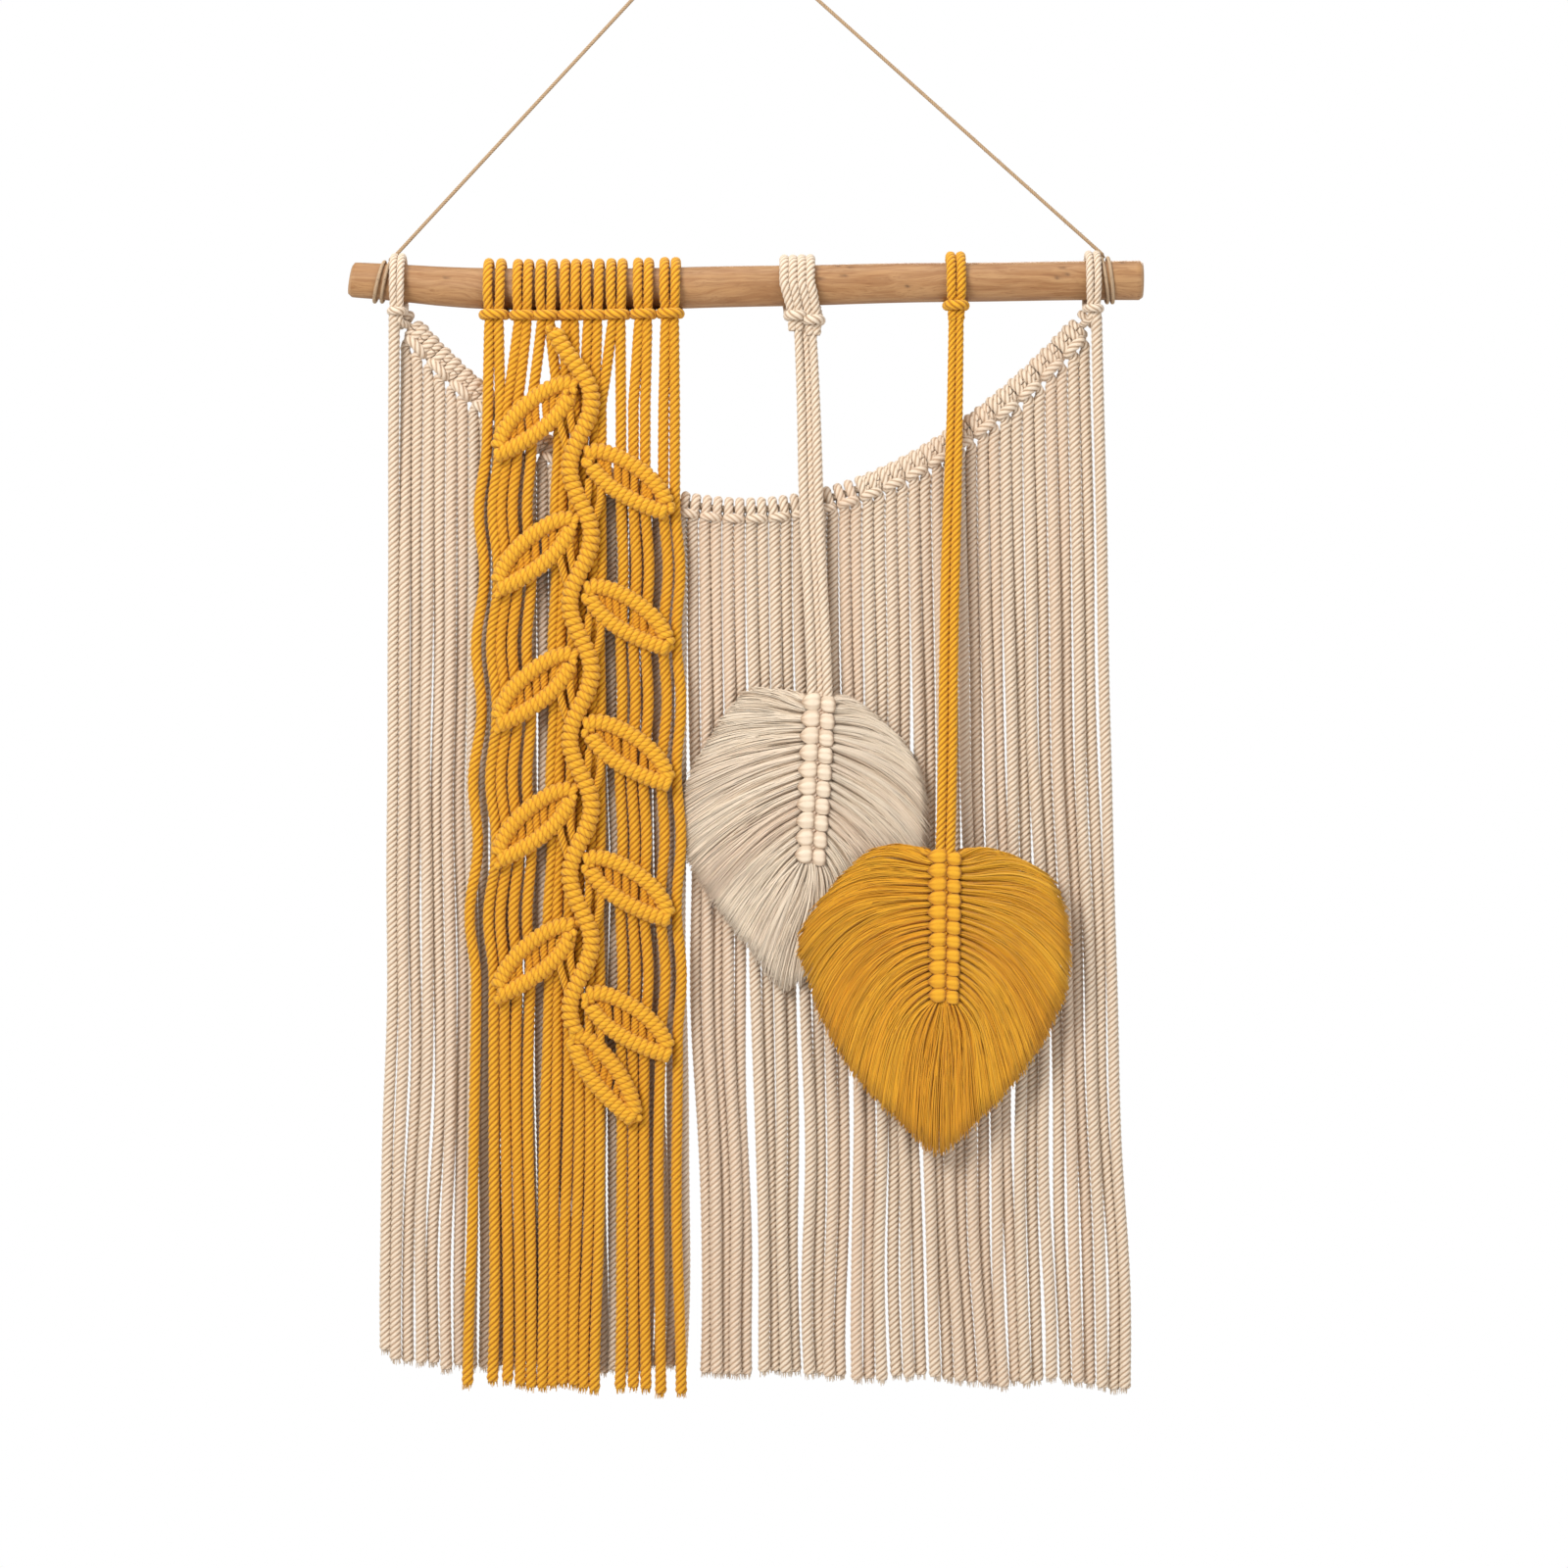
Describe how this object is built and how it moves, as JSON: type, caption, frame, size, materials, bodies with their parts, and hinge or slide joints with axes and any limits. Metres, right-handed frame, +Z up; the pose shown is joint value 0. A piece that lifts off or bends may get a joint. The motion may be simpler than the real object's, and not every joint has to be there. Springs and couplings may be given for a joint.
{
  "type": "tapestry wall hanging",
  "caption": "Knotted cotton wall hanging: a fringed curtain on a curved carrier cord, a knotted vine panel and two leaf pendants, all on a wooden rod hung by a twine.",
  "frame": {"origin": "the point where the hanging twine lies over its nail", "axes": "+Z up, +X to the viewer's right along the rod, +Y into the wall, the front faces -Y"},
  "size_m": [0.4, 0.0428, 0.7453],
  "materials": {
    "wood": "smooth debarked stick, lightly oiled",
    "jute": "thin hairy jute twine",
    "white_cotton": "undyed twisted cotton cord, matte",
    "gold_cotton": "mustard dyed twisted cotton cord, matte"
  },
  "bodies": {
    "rod": {"rod": "wood", "hanging_twine": "jute", "twine_wrap_left": "jute", "twine_wrap_right": "jute"},
    "curtain": {"carrier_cord": "white_cotton", "carrier_loop_left": "white_cotton", "carrier_loop_right": "white_cotton", "curtain_bundle_01": "white_cotton", "curtain_bundle_02": "white_cotton", "curtain_bundle_03": "white_cotton", "curtain_bundle_04": "white_cotton", "curtain_bundle_05": "white_cotton", "curtain_bundle_06": "white_cotton", "curtain_bundle_07": "white_cotton", "curtain_bundle_08": "white_cotton", "curtain_bundle_09": "white_cotton", "curtain_bundle_10": "white_cotton", "curtain_bundle_11": "white_cotton", "curtain_bundle_12": "white_cotton", "curtain_bundle_13": "white_cotton", "curtain_bundle_14": "white_cotton", "curtain_bundle_15": "white_cotton"},
    "vine_panel": {"gold_cord_1": "gold_cotton", "gold_cord_2": "gold_cotton", "gold_cord_3": "gold_cotton", "gold_cord_4": "gold_cotton", "gold_cord_5": "gold_cotton", "gold_cord_6": "gold_cotton", "gold_cord_7": "gold_cotton", "gold_cord_8": "gold_cotton", "vine_stem": "gold_cotton", "vine_leaf_left_1": "gold_cotton", "vine_leaf_left_2": "gold_cotton", "vine_leaf_left_3": "gold_cotton", "vine_leaf_left_4": "gold_cotton", "vine_leaf_left_5": "gold_cotton", "vine_leaf_right_1": "gold_cotton", "vine_leaf_right_2": "gold_cotton", "vine_leaf_right_3": "gold_cotton", "vine_leaf_right_4": "gold_cotton", "vine_leaf_right_5": "gold_cotton", "vine_leaf_tip": "gold_cotton"},
    "white_loop": {"white_pendant_loop": "white_cotton"},
    "white_leaf": {"white_pendant_hanger": "white_cotton", "white_leaf_spine": "white_cotton", "white_leaf_fringe_left": "white_cotton", "white_leaf_fringe_right": "white_cotton"},
    "gold_loop": {"gold_pendant_loop": "gold_cotton"},
    "gold_leaf": {"gold_pendant_hanger": "gold_cotton", "gold_leaf_spine": "gold_cotton", "gold_leaf_fringe_left": "gold_cotton", "gold_leaf_fringe_right": "gold_cotton"}
  },
  "joints": [
    {"name": "curtain_swing", "type": "hinge", "parent": "rod", "child": "curtain", "pos_m": [0.0145, 0, -0.1885], "axis": [-1, 0, 0], "range_deg": [0, 30]},
    {"name": "vine_panel_swing", "type": "hinge", "parent": "curtain", "child": "vine_panel", "pos_m": [0.0145, 0, -0.1885], "axis": [-1, 0, 0], "range_deg": [0, 40]},
    {"name": "white_leaf_swing", "type": "hinge", "parent": "curtain", "child": "white_loop", "pos_m": [0.0145, 0, -0.1885], "axis": [-1, 0, 0], "range_deg": [0, 30]},
    {"name": "white_leaf_sway", "type": "hinge", "parent": "white_loop", "child": "white_leaf", "pos_m": [0.0448, -0.0106, -0.208], "axis": [0, -1, 0], "range_deg": [0, 6]},
    {"name": "gold_leaf_swing", "type": "hinge", "parent": "white_loop", "child": "gold_loop", "pos_m": [0.0145, 0, -0.1885], "axis": [-1, 0, 0], "range_deg": [0, 30]},
    {"name": "gold_leaf_sway", "type": "hinge", "parent": "gold_loop", "child": "gold_leaf", "pos_m": [0.1148, -0.0106, -0.208], "axis": [0, -1, 0], "range_deg": [-5, 5]}
  ]
}
